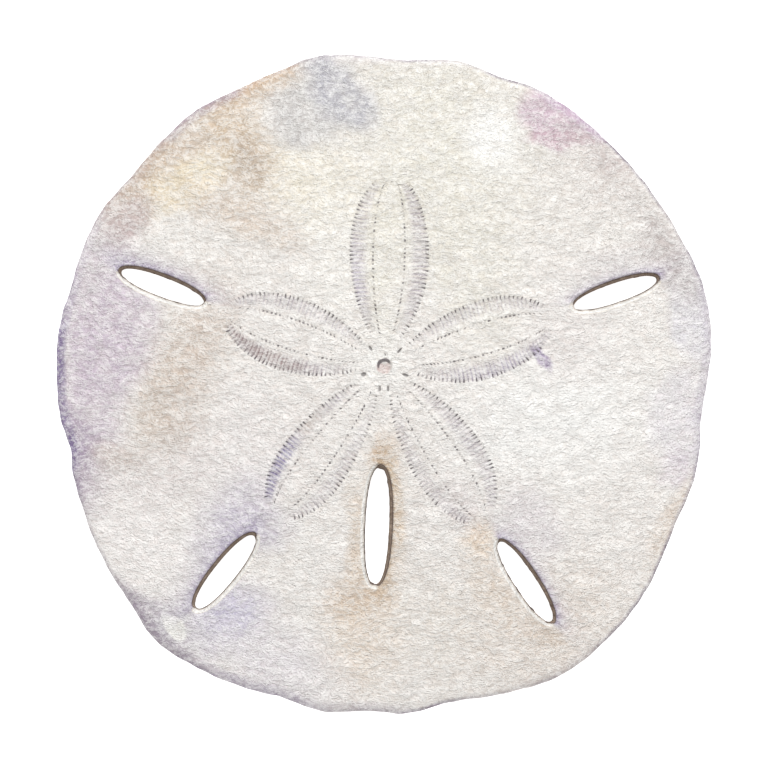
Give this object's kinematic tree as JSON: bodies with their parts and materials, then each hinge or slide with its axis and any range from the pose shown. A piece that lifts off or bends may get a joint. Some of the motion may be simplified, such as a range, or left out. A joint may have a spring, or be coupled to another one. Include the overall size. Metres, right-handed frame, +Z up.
{
  "type": "sand dollar",
  "caption": "Flat, gently domed dried test of a keyhole sand dollar, pierced by long slots, with a flower of petals around a small centre, to lie on a surface or be handled as a shell.",
  "frame": {"origin": "middle of the plan's box, on the flat underside that it rests on", "axes": "+Z up through the domed side, +Y to the animal's front, +X to the right seen from above"},
  "size_m": [0.0899, 0.0905, 0.0095],
  "materials": {
    "chalky_test": "matt, chalky, sun-bleached calcite with faint lilac, ochre and grey stains"
  },
  "bodies": {
    "root": {"test": "chalky_test"}
  },
  "joints": []
}
